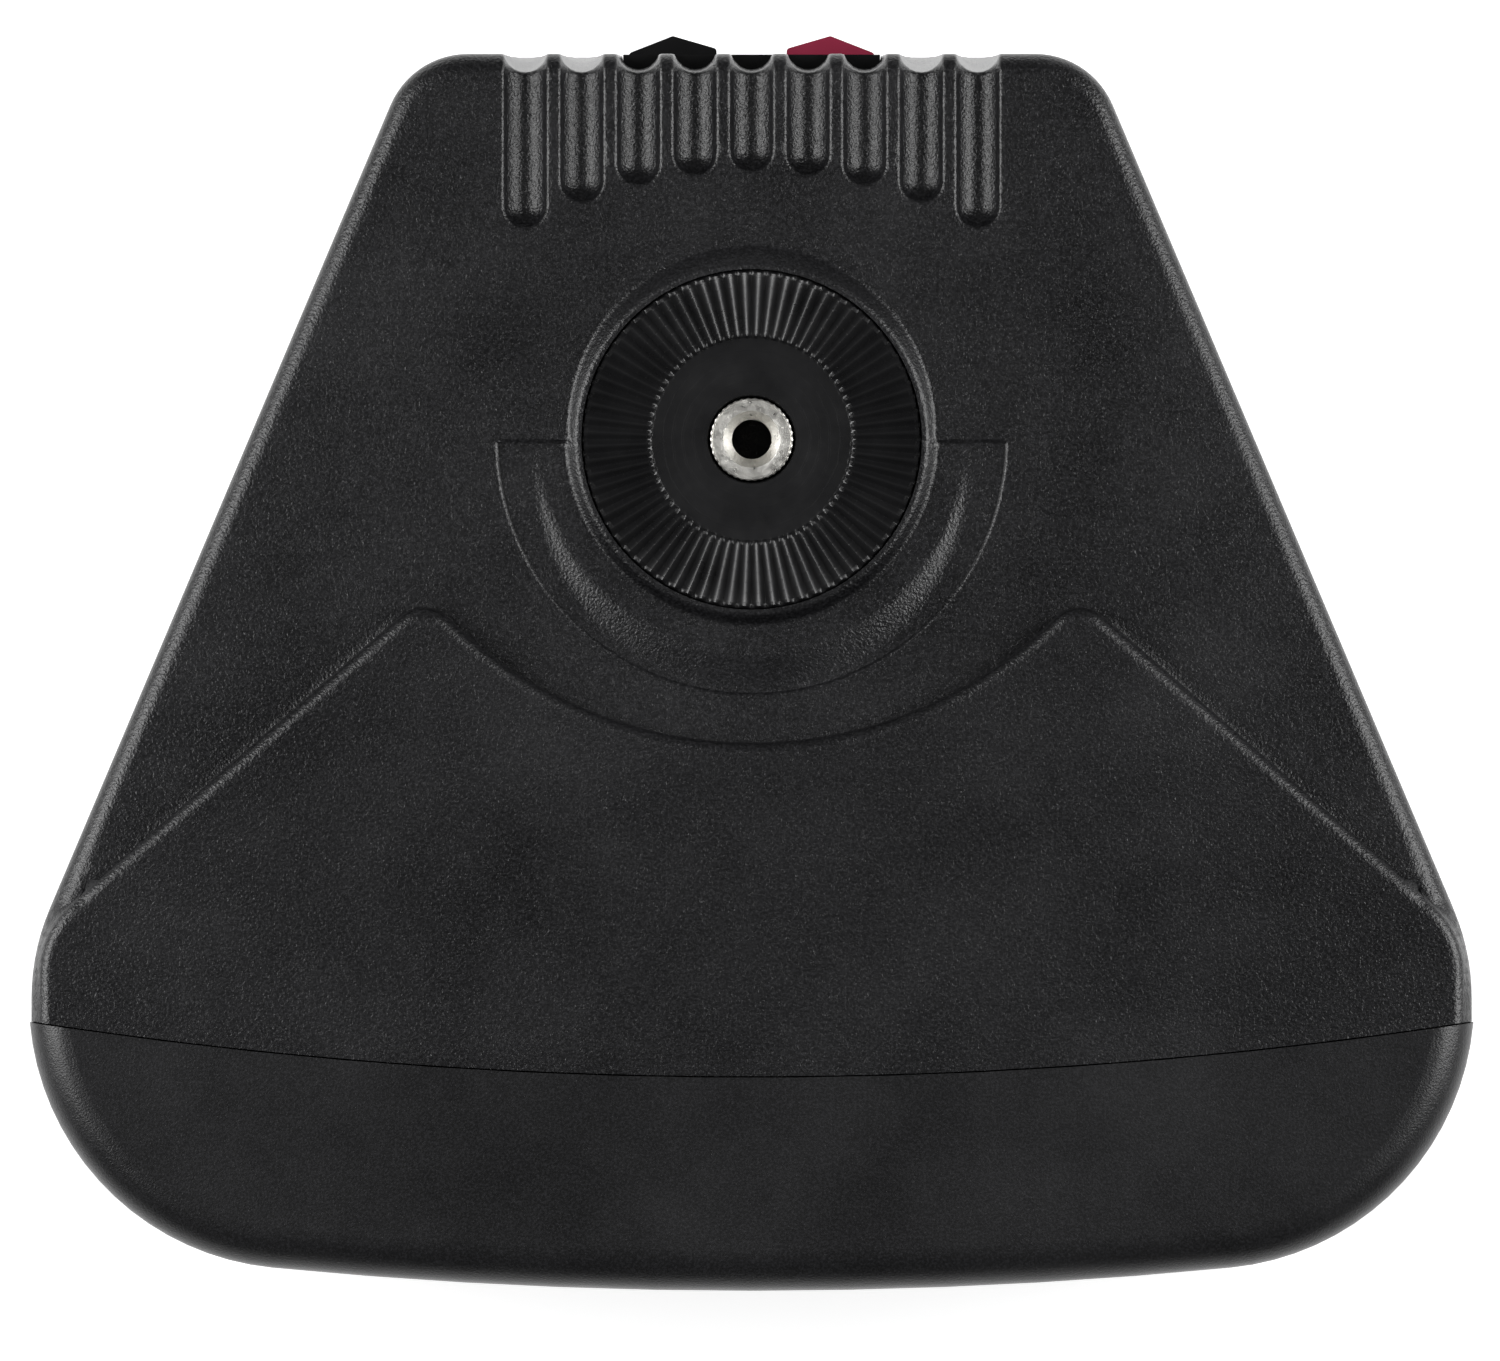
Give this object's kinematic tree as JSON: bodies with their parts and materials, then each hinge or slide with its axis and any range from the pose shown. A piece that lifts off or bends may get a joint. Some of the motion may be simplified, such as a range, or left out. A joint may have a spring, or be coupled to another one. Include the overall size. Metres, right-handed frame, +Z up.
{
  "type": "bracket-mount loudspeaker",
  "caption": "Compact bracket-mount loudspeaker with a flared plastic cabinet, toothed pivot seats, curved grille and push terminals.",
  "frame": {"origin": "on the bracket's pivot axis, where the lower insert's thread starts, one millimetre inside its mouth", "axes": "+Z up the cabinet along the pivot axis, -Y out of the grille, +Y to the wall, +X to the right seen from the grille's side looking at the back"},
  "size_m": [0.1806, 0.1573, 0.246],
  "materials": {
    "cabinet_plastic": "moulded with a fine leather grain",
    "bezel_plastic": "moulded with a finer grain",
    "ring_plastic": "smooth satin nylon",
    "nickel": "nickel plated, bright",
    "grille_paint": "perforated steel, satin black paint",
    "scrim_cloth": "thin knitted cloth",
    "basket_paint": "black paint on pressed steel",
    "cone_paper": "black coated pulp",
    "surround_rubber": "satin butyl rubber",
    "spider_cloth": "resin-treated woven cloth",
    "coil_copper": "enamelled copper winding",
    "zinc_steel": "zinc plated",
    "ferrite": "ground grey ferrite",
    "gasket_foam": "closed-cell foam",
    "tweeter_plastic": "satin moulded",
    "dome_silk": "coated silk",
    "terminal_plastic": "satin moulded",
    "lever_black_plastic": "polished black",
    "lever_red_plastic": "polished crimson",
    "spring_steel": "bright spring strip",
    "tag_brass": "tinned brass",
    "board_laminate": "phenolic paper laminate",
    "capacitor_sleeve": "shrunk sleeve",
    "resistor_cement": "white cement body",
    "screw_black": "black oxide",
    "lead_black": "insulated wire",
    "lead_red": "insulated wire",
    "wadding": "polyester wadding"
  },
  "bodies": {
    "cabinet": {"rear_cabinet": "cabinet_plastic", "front_bezel": "bezel_plastic", "grille": "grille_paint", "grille_scrim": "scrim_cloth", "pivot_ring_top": "ring_plastic", "pivot_ring_bottom": "ring_plastic", "pivot_insert_top": "nickel", "pivot_insert_bottom": "nickel", "woofer_basket": "basket_paint", "woofer_gasket": "gasket_foam", "woofer_surround": "surround_rubber", "woofer_spider": "spider_cloth", "woofer_top_plate": "zinc_steel", "woofer_magnet": "ferrite", "woofer_yoke": "zinc_steel", "woofer_terminals": "board_laminate", "tweeter_faceplate": "tweeter_plastic", "tweeter_top_plate": "zinc_steel", "tweeter_magnet": "ferrite", "tweeter_yoke": "zinc_steel", "tweeter_terminals": "board_laminate", "terminal_cup": "terminal_plastic", "lever_spring_red": "spring_steel", "lever_spring_black": "spring_steel", "lever_pin": "spring_steel", "terminal_tags": "tag_brass", "crossover_board": "board_laminate", "crossover_inductor": "coil_copper", "crossover_capacitors": "capacitor_sleeve", "crossover_resistor": "resistor_cement", "bezel_screws": "screw_black", "woofer_screws": "screw_black", "tweeter_screws": "screw_black", "terminal_screws": "screw_black", "board_screws": "zinc_steel", "lead_woofer_red": "lead_red", "lead_woofer_black": "lead_black", "lead_tweeter_red": "lead_red", "lead_tweeter_black": "lead_black", "damping_pad": "wadding"},
    "woofer_moving": {"woofer_cone": "cone_paper", "woofer_dust_cap": "cone_paper", "woofer_voice_coil": "coil_copper"},
    "tweeter_moving": {"tweeter_dome": "dome_silk", "tweeter_voice_coil": "coil_copper"},
    "lever_red": {"terminal_lever_red": "lever_red_plastic"},
    "lever_black": {"terminal_lever_black": "lever_black_plastic"}
  },
  "joints": [
    {"name": "woofer_travel", "type": "slide", "parent": "cabinet", "child": "woofer_moving", "axis": [0, -1, 0], "range_m": [-0.003, 0.003], "stiffness_N_per_m": 1500, "deforming": ["woofer_surround", "woofer_spider"]},
    {"name": "tweeter_travel", "type": "slide", "parent": "cabinet", "child": "tweeter_moving", "axis": [0, -1, 0], "range_m": [-0.0003, 0.0003], "stiffness_N_per_m": 1500},
    {"name": "lever_red_press", "type": "hinge", "parent": "cabinet", "child": "lever_red", "pos_m": [0.0099, 0.0453, 0.196], "axis": [1, 0, 0], "range_deg": [0, 15], "stiffness_Nm_per_rad": 0.3, "springref_deg": -5.73, "deforming": ["lever_spring_red"]},
    {"name": "lever_black_press", "type": "hinge", "parent": "cabinet", "child": "lever_black", "pos_m": [-0.0099, 0.0453, 0.196], "axis": [1, 0, 0], "range_deg": [0, 15], "stiffness_Nm_per_rad": 0.3, "springref_deg": -5.73, "deforming": ["lever_spring_black"]}
  ]
}
